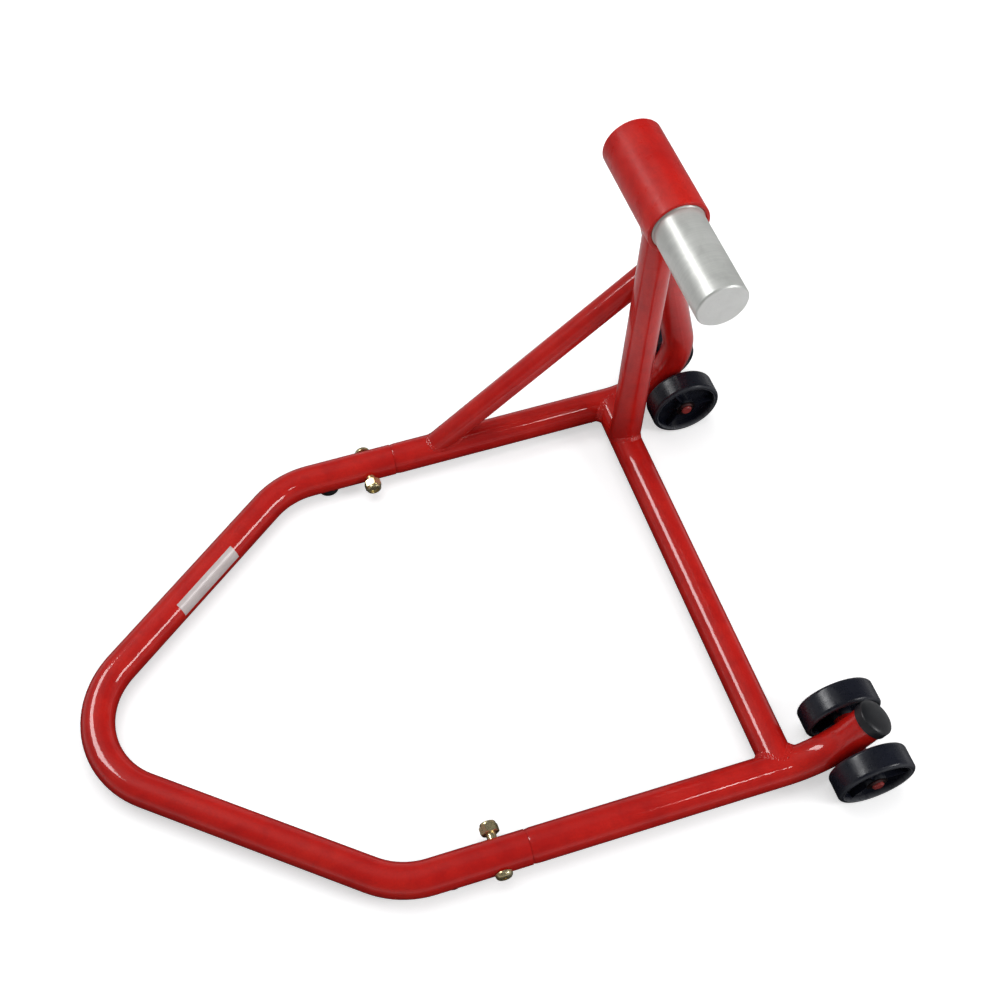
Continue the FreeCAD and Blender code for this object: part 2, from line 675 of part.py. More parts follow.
# ------------------------------------------------------------------ handle bolts and nuts
def button_bolt(tag, rotation):
    """M10 button-head bolt, axis along X, head on the outer side."""
    name = tag + "_bolt"
    end = "-nut_stand_off-bolt_reach"
    seat = "tube_od/2+head_gap"
    top = seat + "+head_height"
    bolt = turned(name, [
        (end, "0"), (end, "bolt_dia/2-bolt_chamfer"), (end + "+bolt_chamfer", "bolt_dia/2"),
        (seat, "bolt_dia/2"), (seat, "head_dia/2"), (top, "head_dia/2"), (top, "0")],
        (TUBE_X[tag], "bolt_y", "tube_z"), rotation=rotation)
    round_rims(bolt, name + "_dome", "head_dome", "head_dia/2", (top,))
    sketch = new_sketch(bolt, "YZ_Plane", name + "_socket_profile", top + "+socket_lead")
    hexagon(sketch, "socket_af", 12)
    extrude(bolt, "Pocket", name + "_socket", sketch, "socket_cut")
    return bolt


def lock_nut(tag, hex_turn, rotation):
    """Self-locking nut: hexagon towards the tube, rounded collar inwards."""
    name = tag + "_nut"
    seat = "nut_stand_off"
    hex_top = "nut_stand_off+nut_hex"
    top = "nut_stand_off+nut_total"
    corner = "nut_af/sqrt(3)+corner_gap"
    collar = "nut_af/2-collar_inset"
    thread = "bolt_dia/2+thread_gap"
    nut = new_body(name)
    sketch = new_sketch(nut, "YZ_Plane", name + "_hex_profile", seat)
    hexagon(sketch, "nut_af", hex_turn)
    extrude(nut, "Pad", name + "_hex", sketch, "nut_hex")
    revolve(nut, name + "_trim", [
        (seat + "-cut_lead", "nut_af/2-seat_inset"), (seat + "-cut_lead", "nut_af"),
        (hex_top + "+cut_lead", "nut_af"), (hex_top + "+cut_lead", "nut_af/2+top_outset"),
        (hex_top + "-top_bevel", corner), (seat + "+seat_bevel", corner)], remove=True)
    revolve(nut, name + "_collar", [
        (hex_top + "-collar_sink", "0"), (hex_top + "-collar_sink", collar),
        (top, collar), (top, "0")])
    round_rims(nut, name + "_crown", "collar_round", collar, (top,))
    revolve(nut, name + "_thread", [
        (seat + "-thread_lead", "0"), (seat + "-thread_lead", thread),
        (top + "+thread_lead", thread), (top + "+thread_lead", "0")], remove=True)
    place(nut, (TUBE_X[tag], "bolt_y", "tube_z"), rotation)
    return nut


node("handle_bolts", group("handle_bolts", [
    button_bolt("near", UPRIGHT), button_bolt("far", HALF_TURN)]))
node("handle_lock_nuts", group("handle_lock_nuts", [
    lock_nut("near", 8, HALF_TURN), lock_nut("far", 21, UPRIGHT)]))

# ------------------------------------------------------------------ rubber feet
handle_clear = handle_sweep("handle_clear", "tube_od/2+touch_gap")


def rubber_foot(tag):
    """Saddle pad under the tube with a stem and barb through its wall."""
    name = tag + "_foot"
    x = TUBE_X[tag]
    pad = cylinder(name + "_pad", "foot_dia/2", "foot_height", (x, "foot_y", "0"))
    saddle = cut(name + "_saddle", pad, handle_clear)
    # (radius, height), turned about Z
    stem = turned(name + "_stem", [
        ("0", "stem_from"), ("foot_stem/2", "stem_from"), ("foot_stem/2", "barb_from"),
        ("foot_stem/2+barb_out", "barb_from"), ("foot_stem/2+barb_out", "barb_to"),
        ("foot_stem/2-stem_taper", "stem_to"), ("0", "stem_to")],
        (x, "foot_y", "0"), "XZ_Plane", axis="V_Axis")
    return fuse(name, saddle, stem)


node("rubber_feet", group("rubber_feet", [rubber_foot(tag) for tag in TUBE_X]))


# ------------------------------------------------------------------ wheels
def wheel(label, centre_x):
    """Rim, web and hub turned in one, with three ribs on each side of the web."""
    side, tread, rim_in = "wheel_width/2", "wheel_dia/2", "wheel_dia/2-rim_thick"
    body = turned(label + "_body", [
        ("-" + side, rim_in), ("-" + side, tread), (side, tread), (side, rim_in),
        ("web_thick/2", rim_in + "-rim_taper"), ("web_thick/2", "hub_dia/2+hub_taper"),
        ("hub_length/2", "hub_dia/2"), ("hub_length/2", "wheel_bore/2"),
        ("-hub_length/2", "wheel_bore/2"), ("-hub_length/2", "hub_dia/2"),
        ("-web_thick/2", "hub_dia/2+hub_taper"), ("-web_thick/2", rim_in + "-rim_taper")],
        (centre_x, "axle_y", "wheel_dia/2"))
    sides = (side, "-" + side)
    round_rims(body, label + "_tread_edges", "rim_round", tread, sides)
    round_rims(body, label + "_recess_edges", "recess_round", rim_in, sides)
    sketch = new_sketch(body, "YZ_Plane", label + "_rib_profile")
    rib_from, rib_to = "hub_dia/2-rib_in_hub", rim_in + "+rib_in_rim"
    polygon(sketch, [(rib_from, "-rib_thick/2"), (rib_to, "-rib_thick/2"),
                     (rib_to, "rib_thick/2"), (rib_from, "rib_thick/2")])
    rib = extrude(body, "Pad", label + "_rib", sketch, "rib_width")
    rib.Midplane = True
    doc.recompute()
    ribs = body.newObject("PartDesign::PolarPattern", label + "_ribs")
    ribs.Originals = [rib]
    ribs.Axis = (sketch, ["N_Axis"])
    ribs.Angle = 360
    ribs.Occurrences = 3
    body.Tip = ribs
    return body


for label, centre_x in (
        ("near_outer_wheel", "half_track+wheel_offset"),
        ("near_inner_wheel", "half_track-wheel_offset"),
        ("far_inner_wheel", "-half_track+wheel_offset"),
        ("far_outer_wheel", "-half_track-wheel_offset")):
    node(label, wheel(label, centre_x))


# ------------------------------------------------------------------ axles and what holds the wheels
def axle_base(tag):
    return TUBE_X[tag], "axle_y", "wheel_dia/2"


for tag in TUBE_X:
    node(tag + "_axle", turned(tag + "_axle_body", [
        ("-axle_half", "0"), ("-axle_half", "axle_dia/2-axle_chamfer"),
        ("-axle_half+axle_chamfer", "axle_dia/2"), ("axle_half-axle_chamfer", "axle_dia/2"),
        ("axle_half", "axle_dia/2-axle_chamfer"), ("axle_half", "0")], axle_base(tag)))

SPACER_TO = "wheel_offset-hub_length/2-hub_gap"
SPACER = [
    ("spacer_from", "axle_dia/2+spacer_gap"), ("spacer_from", "spacer_dia/2-spacer_chamfer"),
    ("spacer_from+spacer_chamfer", "spacer_dia/2"),
    (SPACER_TO + "-spacer_chamfer", "spacer_dia/2"),
    (SPACER_TO, "spacer_dia/2-spacer_chamfer"), (SPACER_TO, "axle_dia/2+spacer_gap"),
]
# Star-lock washer outline: distance beyond the hub's end, radius
PUSH_NUT = [("wheel_offset+hub_length/2+" + beyond, radius) for beyond, radius in (
    ("hub_gap", "push_nut_dia/2-2.6"),
    ("hub_gap", "push_nut_dia/2"),
    ("0.6", "push_nut_dia/2"),
    ("0.8", "push_nut_dia/2-2.2"),
    ("2.0", "axle_dia/2+0.9"),
    ("2.0", "axle_dia/2+0.03"),
    ("1.4", "axle_dia/2+0.03"),
)]


def on_axle_ends(suffix, profile):
    """The same turned part towards +X and -X on both axles."""
    return [turned(f"{tag}_{end}_{suffix}", profile, axle_base(tag), rotation=rotation)
            for tag in TUBE_X for end, rotation in (("plus", UPRIGHT), ("minus", HALF_TURN))]


node("wheel_spacers", group("wheel_spacers", on_axle_ends("spacer", SPACER)))
node("axle_push_nuts", group("axle_push_nuts", on_axle_ends("push_nut", PUSH_NUT)))


# ------------------------------------------------------------------ end cap on the near side tube
def tube_end_cap():
    """A cup over the end of the tail, drawn along Y and tilted with the tail."""
    tail_y, tail_z = bend_end("near_bend_start", "near_bend_angle")
    floor = "near_tail+cap_gap"
    tilt = FreeCAD.Rotation(V(1, 0, 0), num("near_bend_angle"))
    cap = turned("tube_end_cap_body", [
        ("cap_from", "cap_bore/2"), (floor, "cap_bore/2"), (floor, "0"),
        ("cap_to", "0"), ("cap_to", "cap_dia/2"), ("cap_from", "cap_dia/2")],
        ("half_track", tail_y, "tube_z+" + tail_z), "YZ_Plane", tilt)
    bind(cap, "Placement.Rotation.Angle", "near_bend_angle")
    round_rims(cap, "cap_round", "cap_round", "cap_dia/2", ("cap_to",), "y")
    round_rims(cap, "cap_lip", "cap_lip", "cap_dia/2", ("cap_from",), "y")
    return cap


node("tube_end_cap", tube_end_cap())
doc.recompute()

# ------------------------------------------------------------------ weld beads
# Each large bead fills the corner between two tubes: what lies within one leg of
# both of their surfaces, with the tubes themselves taken away.
near_grown, far_grown = [
    piped(tag + "_tube_grown", "YZ_Plane", side_path(tag), "swage_start",
          "tube_od/2+weld_leg", x) for tag, x in TUBE_X.items()]
cross_grown = cylinder("cross_grown", "tube_od/2+weld_leg", "2*half_track",
                       CROSS_BASE, ALONG_X)
sleeve_grown = cylinder("sleeve_grown", "sleeve_od/2+weld_leg", SLEEVE_LENGTH,
                        SLEEVE_BASE, ALONG_X)
strut_grown = rod_between("strut_grown", "strut_od/2+weld_leg", *STRUT_ENDS)
brace_grown = rod_between("brace_grown", "tube_od/2+weld_leg", *BRACE_ENDS)

node("cross_tube_welds", group("cross_tube_welds", [
    cut(tag + "_cross_weld", common(tag + "_cross_corner", cross_grown, grown),
        side_solids[tag], cross_solid)
    for tag, grown in (("near", near_grown), ("far", far_grown))]))

strut_corner = common("strut_corner", strut_grown, far_grown)
node("strut_welds", cut("strut_welds", strut_corner, far_solid, strut_solid))

sleeve_corner = common("sleeve_corner", far_grown, sleeve_grown)
node("sleeve_weld", cut("sleeve_weld", sleeve_corner, far_solid, sleeve_solid, brace_solid))

brace_foot_corner = common("brace_foot_corner", brace_grown, cross_grown)
brace_head_corner = common("brace_head_corner", brace_grown, sleeve_grown)
node("brace_welds", group("brace_welds", [
    cut("brace_foot_weld", brace_foot_corner, cross_solid, brace_solid, far_solid),
    cut("brace_head_weld", brace_head_corner, sleeve_solid, brace_solid, far_solid,
        sleeve_corner)]))

# Half-round bead about the axle, as a polygon through these angles in degrees
BEAD = [(f"-small_weld*cos({angle})", f"axle_dia/2+touch_gap+small_weld*sin({angle})")
        for angle in (0, 25, 50, 75, 105, 130, 155, 180)]


def axle_weld(tag, end, sign):
    x, y, z = axle_base(tag)
    ring = turned(f"{tag}_{end}_axle_ring", BEAD,
                  (f"{x}{sign}(spacer_from-small_weld-bead_inset)", y, z))
    return cut(f"{tag}_{end}_axle_weld", ring, side_solids[tag])


node("axle_welds", group("axle_welds", [
    axle_weld(tag, end, sign) for tag in TUBE_X for end, sign in (("plus", "+"), ("minus", "-"))]))
doc.recompute()


# ------------------------------------------------------------------ label
def blank_label():
    """A thin patch wrapped round the far leg of the handle, on its upper inner side."""
    corner = point(("-half_track", "corner_y", "tube_z"))
    leg = (point(("0", "apex_y", "tube_z")) - corner).normalize()
    up = V(0, 0, 1)
    inward = up.cross(leg).normalize()
    # The sweep runs from the lower edge up to label_from
    lower_edge = math.radians(num("label_from+label_sweep"))
    edge_dir = up * math.cos(lower_edge) + inward * math.sin(lower_edge)
    radius = num("tube_od/2+touch_gap")
    length = num("label_length")
    patch = Part.makeCylinder(radius + num("label_thick"), length, V(0, 0, 0), up,
                              num("label_sweep"))
    label = doc.addObject("Part::Feature", "blank_label_feature")
    label.Shape = patch.cut(Part.makeCylinder(radius, length, V(0, 0, 0), up))
    label.Placement = FreeCAD.Placement(
        corner + leg * num("label_start"),
        FreeCAD.Rotation(edge_dir, leg.cross(edge_dir), leg, "ZXY"))
    return label


node("blank_label", blank_label())
doc.recompute()

# ------------------------------------------------------------------ checks, then the files
bad = [o.Name for o in doc.Objects if "Invalid" in o.State or "Error" in o.State]
if bad:
    raise RuntimeError("failed objects: " + ", ".join(bad))

for label, piece in NODES.items():
    shape = piece.Shape
    if shape.isNull() or not shape.isValid() or not shape.Solids:
        raise RuntimeError("bad shape: " + label)

os.makedirs("parts", exist_ok=True)
for label, piece in NODES.items():
    piece.Shape.exportStep(f"parts/{label}.step")
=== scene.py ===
"""Red tubular paddock stand: looks, weld beads, end cap, floor, lights and camera.

Metres, +Z up, floor at z = 0. The cross tube lies along X; the two side tubes run along Y,
bend upwards and end in straight tails. The far side tube is at -X, the near one at +X.
"""
import bpy
import bmesh
import json
import math
import random
from mathutils import Matrix, Vector, noise


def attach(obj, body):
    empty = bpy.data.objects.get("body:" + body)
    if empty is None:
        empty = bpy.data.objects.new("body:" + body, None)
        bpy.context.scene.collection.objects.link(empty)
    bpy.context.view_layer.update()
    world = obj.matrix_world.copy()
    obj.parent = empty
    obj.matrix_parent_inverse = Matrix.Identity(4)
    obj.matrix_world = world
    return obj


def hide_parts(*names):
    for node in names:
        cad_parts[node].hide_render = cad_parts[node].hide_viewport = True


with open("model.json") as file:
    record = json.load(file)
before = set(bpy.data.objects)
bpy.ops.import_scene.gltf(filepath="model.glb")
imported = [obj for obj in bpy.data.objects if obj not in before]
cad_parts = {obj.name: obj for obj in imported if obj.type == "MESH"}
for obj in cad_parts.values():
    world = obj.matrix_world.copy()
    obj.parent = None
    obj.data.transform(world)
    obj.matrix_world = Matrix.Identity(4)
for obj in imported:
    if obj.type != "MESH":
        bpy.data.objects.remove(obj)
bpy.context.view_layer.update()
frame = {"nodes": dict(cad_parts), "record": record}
SCENE = bpy.context.scene

# ------------------------------------------------------------------ frame dimensions
DATUM = Vector((0.0085, 0.272105, 0.0))  # middle of the cross tube, on the floor
HALF_WIDTH = 0.2394  # datum to a side tube's centreline
TUBE_Z = 0.0220  # centreline height of the floor runs
TUBE_RADIUS = 0.0175
STRUT_RADIUS = 0.01345
SLEEVE_RADIUS = 0.03175
AXLE_RADIUS = 0.006
BEND_RADIUS = 0.07875
PIN = Vector((0.0, 0.0200, 0.3633)) + DATUM
AXLE = Vector((0.0, 0.0761, 0.0400)) + DATUM
FAR_X = DATUM.x - HALF_WIDTH
NEAR_X = DATUM.x + HALF_WIDTH


# ------------------------------------------------------------------ node helpers
class Graph:
    """Short calls for building a node tree. Values may be numbers, colours or sockets."""

    def __init__(self, tree):
        self.tree = tree

    def feed(self, socket, value):
        """Link a socket to an input, or set its number or (r, g, b) colour."""
        if isinstance(value, bpy.types.NodeSocket):
            self.tree.links.new(value, socket)
        elif isinstance(value, tuple):
            socket.default_value = (*value, 1.0)
        else:
            socket.default_value = value

    def node(self, kind, inputs=None, **props):
        node = self.tree.nodes.new(kind)
        for key, value in props.items():
            setattr(node, key, value)
        for key, value in (inputs or {}).items():
            self.feed(node.inputs[key], value)
        return node

    def coords(self, scale=(1, 1, 1)):
        """Object coordinates in metres, which are the frame's own."""
        source = self.node("ShaderNodeTexCoord").outputs["Object"]
        mapping = self.node("ShaderNodeMapping", {"Vector": source})
        mapping.inputs["Scale"].default_value = scale
        return mapping.outputs["Vector"]

    def noise(self, vector, scale, detail=3.0, rough=0.5, distortion=0.0):
        return self.node("ShaderNodeTexNoise", {
            "Vector": vector, "Scale": scale, "Detail": detail,
            "Roughness": rough, "Distortion": distortion}).outputs["Fac"]

    def ramp(self, factor, stops):
        """Colour ramp; stops are (position, (r, g, b))."""
        node = self.node("ShaderNodeValToRGB", {"Fac": factor})
        elements = node.color_ramp.elements
        while len(elements) > 1:
            elements.remove(elements[-1])
        elements[0].position = stops[0][0]
        elements[0].color = (*stops[0][1], 1.0)
        for position, colour in stops[1:]:
            elements.new(position).color = (*colour, 1.0)
        return node.outputs["Color"]

    def math(self, operation, *values):
        return self.node("ShaderNodeMath", dict(enumerate(values)), operation=operation).outputs[0]

    def times(self, first, second):
        return self.math("MULTIPLY", first, second)

    def plus(self, first, second):
        return self.math("ADD", first, second)

    def weighted(self, *terms):
        """Sum of two (value, weight) terms."""
        return self.plus(*[self.times(value, weight) for value, weight in terms])

    def remap(self, value, span, to=(0.0, 1.0)):
        """Carry the range span on to the range to, clamped."""
        inputs = dict(enumerate((value, *span, *to)))
        return self.node("ShaderNodeMapRange", inputs, clamp=True).outputs[0]

    def mix(self, factor, first, second):
        inputs = {0: factor, 6: first, 7: second}
        return self.node("ShaderNodeMix", inputs, data_type="RGBA").outputs[2]

    def tint(self, colour, by, span, amount, to):
        """Mix towards the colour to, from none to amount as by crosses span."""
        return self.mix(self.remap(by, span, (0.0, amount)), colour, to)

    def bump(self, height, strength, distance, normal=None):
        inputs = {"Strength": strength, "Distance": distance, "Height": height}
        if normal is not None:
            inputs["Normal"] = normal
        return self.node("ShaderNodeBump", inputs).outputs["Normal"]

    def length(self, first, second):
        squares = [self.times(value, value) for value in (first, second)]
        return self.math("SQRT", self.plus(*squares))

    def about_x(self, vector, centre):
        """x, y, z and radius, the last three from a line along X through centre."""
        split = self.node("ShaderNodeSeparateXYZ", {0: vector})
        y = self.math("SUBTRACT", split.outputs["Y"], centre.y)
        z = self.math("SUBTRACT", split.outputs["Z"], centre.z)
        return split.outputs["X"], y, z, self.length(y, z)


class Look(Graph):
    """A material with one Principled shader."""

    def __init__(self, name):
        self.material = bpy.data.materials.new(name)
        self.material.use_nodes = True
        super().__init__(self.material.node_tree)
        self.tree.nodes.clear()
        output = self.node("ShaderNodeOutputMaterial")
        self.shader = self.node("ShaderNodeBsdfPrincipled")
        self.feed(output.inputs[0], self.shader.outputs[0])

    def set(self, name, value):
        self.feed(self.shader.inputs[name], value)


# ------------------------------------------------------------------ materials
def red_coat(name, gloss=0.05, lumps=0.35, specks=0.0, coat=1.0, dull=0.0):
    """Gloss red powder coat: orange peel under a clear, wet-looking skin.

    gloss is the skin's roughness, lumps and specks its bump strengths, coat its weight,
    and dull the share of greyed red.
    """
    look = Look(name)
    where = look.coords()
    tone = look.noise(where, scale=22.0, detail=4.0, rough=0.55)
    fine = look.noise(where, scale=480.0, rough=0.6)
    blotch = look.noise(where, scale=8.0, rough=0.6, distortion=0.3)
    colour = look.ramp(tone, [(0.28, (0.520, 0.0070, 0.0048)), (0.50, (0.620, 0.0110, 0.0066)),
                              (0.74, (0.680, 0.0175, 0.0090))])
    colour = look.tint(colour, fine, span=(0.40, 0.75), amount=0.30, to=(0.40, 0.0035, 0.0040))
    colour = look.tint(colour, blotch, span=(0.48, 0.70), amount=0.30, to=(0.36, 0.0035, 0.0045))
    # small dark nicks and a few pale rubs
    nick = look.noise(where, scale=150.0, detail=5.0, rough=0.75, distortion=0.5)
    colour = look.tint(colour, nick, span=(0.715, 0.745), amount=0.75, to=(0.10, 0.012, 0.012))
    colour = look.tint(colour, nick, span=(0.27, 0.24), amount=0.35, to=(0.55, 0.10, 0.08))
    mottle = look.noise(where, scale=62.0, detail=4.0, rough=0.65, distortion=0.4)
    colour = look.tint(colour, mottle, span=(0.46, 0.66), amount=0.26, to=(0.33, 0.0030, 0.0040))
    if dull:
        colour = look.mix(dull, colour, (0.20, 0.045, 0.042))
    # greyer to diffuse rays, which keeps the red out of the light thrown on to the floor
    ray = look.node("ShaderNodeLightPath")
    grey_share = look.times(ray.outputs["Is Diffuse Ray"], 0.55)
    look.set("Base Color", look.mix(grey_share, colour, (0.13, 0.11, 0.11)))
    look.set("Roughness", look.remap(tone, span=(0.3, 0.7), to=(0.34, 0.46)))
    look.set("Specular IOR Level", 0.12)
    look.set("Coat Weight", coat)
    look.set("Coat IOR", 1.5)
    haze = look.noise(where, scale=55.0)
    look.set("Coat Roughness", look.remap(haze, span=(0.35, 0.7), to=(gloss * 0.7, gloss * 1.5)))
    peel = look.noise(where, scale=360.0, detail=2.0, rough=0.45)
    wave = look.noise(where, scale=85.0, detail=1.0, rough=0.4)
    height = look.weighted((peel, 0.40), (wave, 1.0))
    normal = look.bump(height, strength=lumps, distance=0.00040)
    if specks:
        pits = look.noise(where, scale=620.0, detail=2.0, rough=0.6)
        normal = look.bump(pits, strength=specks, distance=0.0006, normal=normal)
    look.set("Coat Normal", normal)
    look.set("Normal", look.bump(look.plus(fine, wave), strength=0.4, distance=0.0003))
    return look.material


def turned_metal(name):
    """Satin turned aluminium: fine tool lines round the X axis, light handling marks."""
    look = Look(name)
    where = look.coords()
    along, y, z, radius = look.about_x(where, PIN)
    turn = look.math("ARCTAN2", y, z)
    # lines depend on x along the side and on the radius across the end face
    lathe_space = look.node("ShaderNodeCombineXYZ", {0: along, 1: radius}).outputs[0]
    lines = look.noise(lathe_space, scale=5200.0, detail=2.0, rough=0.6)
    broad = look.noise(lathe_space, scale=900.0, detail=2.0)
    smudge = look.noise(where, scale=42.0, detail=5.0, rough=0.62, distortion=0.5)
    colour = look.ramp(smudge, [(0.25, (0.62, 0.635, 0.605)), (0.55, (0.74, 0.755, 0.720)),
                                (0.8, (0.81, 0.82, 0.79))])
    colour = look.tint(colour, broad, span=(0.35, 0.7), amount=0.22, to=(0.50, 0.51, 0.495))
    # painted sheen on the faced end: pale rays as painted highlight and dark rays as painted
    # shade, from its middle
    fan = look.node("ShaderNodeCombineXYZ", {0: turn}).outputs[0]
    rays = look.noise(fan, scale=1.1, detail=2.0, distortion=0.4)
    rays = look.weighted((rays, 0.6), (smudge, 0.4))
    on_end = look.remap(along, span=(DATUM.x - 0.0752, DATUM.x - 0.0746))
    pale = look.times(on_end, look.remap(rays, span=(0.42, 0.62), to=(0.0, 0.38)))
    colour = look.mix(pale, colour, (0.84, 0.85, 0.83))
    dark = look.times(on_end, look.remap(rays, span=(0.45, 0.30), to=(0.0, 0.30)))
    colour = look.mix(dark, colour, (0.50, 0.51, 0.49))
    # painted light: the faced end painted lighter all over, where it faces the lamps
    colour = look.mix(look.times(on_end, 0.6), colour, (0.93, 0.94, 0.92))
    # a few dark nicks and rubbed marks
    nick = look.noise(where, scale=210.0, detail=4.0, rough=0.75)
    colour = look.tint(colour, nick, span=(0.72, 0.78), amount=0.6, to=(0.20, 0.19, 0.18))
    rub = look.noise(look.coords(scale=(0.25, 1.0, 1.0)), scale=260.0, rough=0.7, distortion=0.3)
    colour = look.tint(colour, rub, span=(0.68, 0.80), amount=0.25, to=(0.34, 0.335, 0.32))
    look.set("Base Color", colour)
    look.set("Metallic", 0.42)
    look.set("Roughness", look.remap(smudge, span=(0.3, 0.7), to=(0.34, 0.45)))
    look.set("Specular IOR Level", 0.6)
    look.set("Anisotropic", 0.3)
    height = look.plus(lines, look.times(broad, 0.6))
    look.set("Normal", look.bump(height, strength=0.25, distance=0.00008))
    return look.material


def rim_highlights_and_tread_wear(look, where, scuff, colour, roughness):
    """Paler, rougher bands round the rim edges, which are painted highlights, and dusty tread wear
    lines.
    """
    radius = look.about_x(where, AXLE)[3]

    def ring(rise, fall):
        return look.times(look.remap(radius, rise), look.remap(radius, fall, (1.0, 0.0)))

    # painted highlight: a paler band on the outer rim fillet, patchy with the scuff noise; the
    # band is also made rougher
    outer_rim_highlight = ring(rise=(0.0366, 0.0374), fall=(0.0388, 0.0395))
    outer_rim_highlight = look.times(outer_rim_highlight, look.remap(scuff, span=(0.30, 0.60), to=(0.45, 1.0)))
    colour = look.mix(look.times(outer_rim_highlight, 0.6), colour, (0.048, 0.052, 0.062))
    # painted highlight: a pale thin line on the inner lip of the open face
    inner_lip_highlight = ring(rise=(0.0344, 0.0348), fall=(0.0353, 0.0358))
    inner_lip_highlight = look.times(inner_lip_highlight, look.remap(scuff, span=(0.30, 0.60), to=(0.45, 0.9)))
    colour = look.mix(inner_lip_highlight, colour, (0.17, 0.175, 0.19))
    hoops = look.noise(look.coords(scale=(1.0, 0.12, 0.12)), scale=520.0, rough=0.65)
    tread = look.times(look.remap(radius, span=(0.0395, 0.0399)),
                       look.remap(hoops, span=(0.60, 0.75), to=(0.0, 0.35)))
    colour = look.mix(tread, colour, (0.040, 0.043, 0.052))
    return colour, look.plus(roughness, look.times(outer_rim_highlight, 0.12))


def black_plastic(name, base, rough, wheel=False):
    """Satin moulded plastic with faint flow variation, scuffs, and a painted highlight along sharp
    edges.
    """
    look = Look(name)
    where = look.coords()
    flow = look.noise(where, scale=34.0)
    scuff = look.noise(where, scale=160.0, detail=4.0, rough=0.7)
    light = (base[0] * 1.8, base[1] * 1.8, base[2] * 1.7)
    colour = look.tint(base, flow, span=(0.3, 0.75), amount=0.6, to=light)
    # painted highlight: sharp edges, found by pointiness, painted paler grey in patches
    geometry = look.node("ShaderNodeNewGeometry")
    edge = look.remap(geometry.outputs["Pointiness"], span=(0.51, 0.57))
    edge = look.times(edge, look.remap(scuff, span=(0.35, 0.65), to=(0.2, 0.7)))
    edge_highlight_grey = (0.095, 0.100, 0.110) if wheel else (0.045, 0.048, 0.055)
    colour = look.mix(edge, colour, edge_highlight_grey)
    roughness = look.remap(scuff, span=(0.35, 0.7), to=rough)
    if wheel:
        colour, roughness = rim_highlights_and_tread_wear(look, where, scuff, colour, roughness)
    look.set("Base Color", colour)
    look.set("Roughness", roughness)
    look.set("Specular IOR Level", 0.46)
    grain = look.noise(where, scale=700.0, detail=1.0, rough=0.4)
    height = look.weighted((grain, 0.12), (flow, 1.2))
    look.set("Normal", look.bump(height, strength=0.1 if wheel else 0.2, distance=0.0003))
    return look.material


def rubber(name):
    """Matt black rubber."""
    look = Look(name)
    grain = look.noise(look.coords(), scale=300.0)
    look.set("Base Color", look.tint((0.010, 0.010, 0.011), grain, span=(0.3, 0.7), amount=1.0,
                                     to=(0.028, 0.027, 0.027)))
    look.set("Roughness", 0.72)
    look.set("Normal", look.bump(grain, strength=0.3, distance=0.0004))
    return look.material


def yellow_zinc(name):
    """Yellow passivated zinc: gold with olive and rose patches."""
    look = Look(name)
    where = look.coords()
    patches = look.noise(where, scale=95.0, rough=0.6, distortion=0.6)
    grain = look.noise(where, scale=260.0, detail=2.0)
    look.set("Base Color", look.ramp(patches, [
        (0.28, (0.64, 0.46, 0.23)), (0.45, (0.76, 0.63, 0.34)),
        (0.6, (0.74, 0.66, 0.40)), (0.78, (0.68, 0.52, 0.29))]))
    look.set("Metallic", 0.85)
    look.set("Roughness", look.remap(grain, span=(0.3, 0.7), to=(0.22, 0.34)))
    look.set("Normal", look.bump(grain, strength=0.15, distance=0.0002))
    return look.material


def spring_steel(name):
    """Dark reddish steel."""
    look = Look(name)
    patches = look.noise(look.coords(), scale=140.0, rough=0.6)
    look.set("Base Color", look.ramp(patches, [(0.3, (0.060, 0.035, 0.036)),
                                               (0.7, (0.15, 0.075, 0.075))]))
    look.set("Metallic", 1.0)
    look.set("Roughness", look.remap(patches, span=(0.3, 0.7), to=(0.2, 0.38)))
    return look.material


def vinyl(name):
    """Blank white film, a touch pink where the paint shows through, slightly worn."""
    look = Look(name)
    wear = look.noise(look.coords(), scale=60.0, detail=4.0, rough=0.6)
    look.set("Base Color", look.ramp(wear, [
        (0.3, (0.64, 0.555, 0.545)), (0.6, (0.72, 0.64, 0.63)), (0.8, (0.78, 0.71, 0.69))]))
    look.set("Roughness", 0.32)
    look.set("Coat Weight", 0.35)
    look.set("Coat Roughness", 0.15)
    look.set("Normal", look.bump(wear, strength=0.08, distance=0.0004))
    return look.material


RED = red_coat("red_powder_coat")
RED_SLEEVE = red_coat("red_coat_sleeve", gloss=0.34, lumps=0.45, coat=0.40)
RED_WELD = red_coat("red_coat_welds", gloss=0.06, lumps=1.9, specks=0.8)
RED_AXLE = red_coat("red_coat_axle_ends", gloss=0.22, lumps=0.8, specks=0.5, dull=0.7)
SLOT_LOOKS = {
    "red_powder_coat": RED,
    "turned_metal": turned_metal("turned_metal"),
    "black_plastic": black_plastic("wheel_plastic", base=(0.0062, 0.0074, 0.0140),
                                   rough=(0.24, 0.36), wheel=True),
    "cap_plastic": black_plastic("cap_plastic", base=(0.0085, 0.0092, 0.0115),
                                 rough=(0.32, 0.46)),
    "black_rubber": rubber("foot_rubber"),
    "yellow_zinc": yellow_zinc("yellow_zinc"),
    "bright_zinc": spring_steel("dark_spring_steel"),
    "label_film": vinyl("blank_vinyl"),
}
# pieces whose look differs from their slot's
NODE_LOOKS = {"pin_sleeve": RED_SLEEVE, "near_axle": RED_AXLE, "far_axle": RED_AXLE}
for subpart in frame["record"]["subparts"]:
    materials = frame["nodes"][subpart["node"]].data.materials
    materials.clear()
    materials.append(NODE_LOOKS.get(subpart["node"], SLOT_LOOKS[subpart["material_slot"]]))


# ------------------------------------------------------------------ object helpers
def add_object(name, data):
    obj = bpy.data.objects.new(name, data)
    SCENE.collection.objects.link(obj)
    return obj


